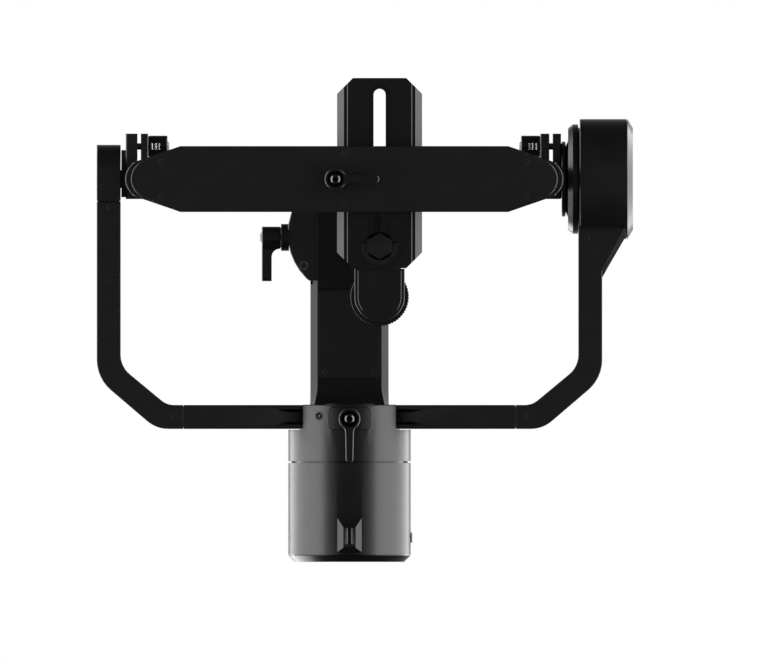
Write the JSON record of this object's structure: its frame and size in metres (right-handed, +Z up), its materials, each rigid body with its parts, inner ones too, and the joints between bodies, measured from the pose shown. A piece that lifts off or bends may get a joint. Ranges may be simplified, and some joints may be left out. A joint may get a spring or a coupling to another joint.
{
  "type": "three-axis camera gimbal",
  "caption": "Hanging three-axis camera gimbal: a pan arm carries a roll motor, a wide U-shaped arm and a tilting camera cage with lever clamps and a sliding plate.",
  "frame": {"origin": "centre of the flat top of the aircraft mount, on the pan axis; the gimbal hangs below it", "axes": "+Z up to the aircraft, -Y the way the camera looks, +X towards the tilt motor"},
  "size_m": [0.2976, 0.2686, 0.26],
  "materials": {
    "anodised": "black anodised, matte",
    "anodised_satin": "black anodised, satin",
    "steel": "bright",
    "black_steel": "black oxide",
    "lamination": "laminated steel with windings",
    "magnet": "nickel plated",
    "board": "circuit board",
    "plastic": "black, matte",
    "rubber": "black"
  },
  "bodies": {
    "mount": {"mount_plate": "anodised_satin", "pan_housing": "anodised", "pan_stator": "lamination", "pan_bearing": "steel", "slip_ring": "plastic"},
    "pan_clamp": {"pan_clamp": "anodised", "pan_magnets": "magnet", "pan_jaw": "anodised_satin"},
    "pan_lever": {"pan_lever": "anodised_satin", "pan_lever_bolt": "steel"},
    "pan_arm": {"pan_arm": "anodised", "pan_arm_cover": "anodised", "roll_housing": "anodised_satin", "roll_back_cover": "anodised_satin", "roll_controller": "board", "roll_stator": "lamination", "roll_bearing": "steel", "service_port": "plastic"},
    "power_button": {"power_button": "plastic"},
    "roll_clamp": {"roll_clamp": "anodised_satin", "roll_magnets": "magnet", "roll_jaw": "anodised_satin"},
    "roll_lever": {"roll_lever": "anodised_satin", "roll_lever_bolt": "steel"},
    "roll_arm": {"roll_bar": "anodised", "roll_cap": "black_steel", "left_arm": "anodised", "left_bearing_housing": "anodised", "left_bearing": "steel", "left_end_cap": "anodised_satin", "right_arm": "anodised", "tilt_stator": "lamination", "tilt_bearing": "steel", "tilt_cover": "anodised_satin"},
    "tilt_hubs": {"tilt_rotor": "anodised_satin", "tilt_magnets": "magnet", "left_spindle": "anodised_satin", "left_clamp": "anodised", "right_clamp": "anodised"},
    "left_lever": {"left_lever": "anodised_satin", "left_lever_bolt": "steel"},
    "right_lever": {"right_lever": "anodised_satin", "right_lever_bolt": "steel"},
    "cage": {"crossbar": "anodised", "crossbar_cover": "anodised", "imu_module": "plastic", "left_rail": "anodised_satin", "right_rail": "anodised_satin", "plate_saddle": "anodised_satin", "saddle_jaw": "anodised_satin"},
    "crossbar_lever": {"crossbar_lever": "anodised_satin", "crossbar_lever_bolt": "steel"},
    "camera_plate": {"camera_plate": "anodised_satin", "rear_bracket": "anodised_satin"},
    "thumb_wheel": {"thumb_wheel": "anodised_satin"},
    "jack": {"jack_screw": "steel", "jack_pad": "rubber"},
    "screw_slider": {"screw_washer": "black_steel"},
    "camera_screw": {"camera_screw": "black_steel"},
    "d_ring": {"d_ring": "black_steel"}
  },
  "joints": [
    {"name": "pan", "type": "hinge", "parent": "mount", "child": "pan_clamp", "pos_m": [0, 0, -0.0315], "axis": [0, 0, 1], "continuous": true},
    {"name": "pan_lever_turn", "type": "hinge", "parent": "pan_clamp", "child": "pan_lever", "pos_m": [-0.0383, 0.0019, -0.0567], "axis": [-1, 0, 0], "range_deg": [-90, 90]},
    {"name": "pan_arm_slide", "type": "slide", "parent": "pan_clamp", "child": "pan_arm", "axis": [0, 1, 0], "range_m": [-0.015, 0.015]},
    {"name": "power_button_press", "type": "slide", "parent": "pan_arm", "child": "power_button", "axis": [-1, 0, 0], "range_m": [0, 0.0006], "stiffness_N_per_m": 1500, "springref_m": -0.0004},
    {"name": "roll", "type": "hinge", "parent": "pan_arm", "child": "roll_clamp", "pos_m": [0, 0.1265, -0.1683], "axis": [0, 1, 0], "range_deg": [-40, 40]},
    {"name": "roll_lever_turn", "type": "hinge", "parent": "roll_clamp", "child": "roll_lever", "pos_m": [0, 0.1026, -0.2028], "axis": [0, 0, -1], "range_deg": [-90, 90]},
    {"name": "roll_arm_slide", "type": "slide", "parent": "roll_clamp", "child": "roll_arm", "axis": [1, 0, 0], "range_m": [-0.015, 0.015]},
    {"name": "tilt", "type": "hinge", "parent": "roll_arm", "child": "tilt_hubs", "pos_m": [0.1274, -0.0305, -0.1683], "axis": [1, 0, 0], "range_deg": [-45, 95]},
    {"name": "left_lever_turn", "type": "hinge", "parent": "tilt_hubs", "child": "left_lever", "pos_m": [-0.1114, -0.0486, -0.1683], "axis": [1, 0, 0], "range_deg": [-90, 90]},
    {"name": "right_lever_turn", "type": "hinge", "parent": "tilt_hubs", "child": "right_lever", "pos_m": [0.1056, -0.0486, -0.1683], "axis": [-1, 0, 0], "range_deg": [-90, 90]},
    {"name": "cage_slide", "type": "slide", "parent": "tilt_hubs", "child": "cage", "axis": [0, 0, 1], "range_m": [-0.015, 0.01]},
    {"name": "crossbar_lever_turn", "type": "hinge", "parent": "cage", "child": "crossbar_lever", "pos_m": [-0.0078, -0.0305, -0.2486], "axis": [0, 0, -1], "range_deg": [-90, 90]},
    {"name": "plate_slide", "type": "slide", "parent": "cage", "child": "camera_plate", "axis": [0, 1, 0], "range_m": [-0.01, 0.025]},
    {"name": "thumb_wheel_turn", "type": "hinge", "parent": "camera_plate", "child": "thumb_wheel", "pos_m": [0.0167, 0.0348, -0.23], "axis": [0, 0, 1], "range_deg": [-720, 720]},
    {"name": "jack_lift", "type": "slide", "parent": "camera_plate", "child": "jack", "axis": [0, 0, 1], "range_m": [-0.0025, 0.0025]},
    {"name": "screw_slide", "type": "slide", "parent": "camera_plate", "child": "screw_slider", "axis": [0, 1, 0], "range_m": [-0.07, 0]},
    {"name": "screw_turn", "type": "hinge", "parent": "screw_slider", "child": "camera_screw", "pos_m": [0.0167, 0.0068, -0.23], "axis": [0, 0, 1], "continuous": true},
    {"name": "d_ring_fold", "type": "hinge", "parent": "camera_screw", "child": "d_ring", "pos_m": [0.0167, 0.0055, -0.2325], "axis": [1, 0, 0], "range_deg": [-100, 0]}
  ],
  "couplings": [
    {"joint": "thumb_wheel_turn", "follows": "jack_lift", "rad_per_m": 5026.5}
  ]
}
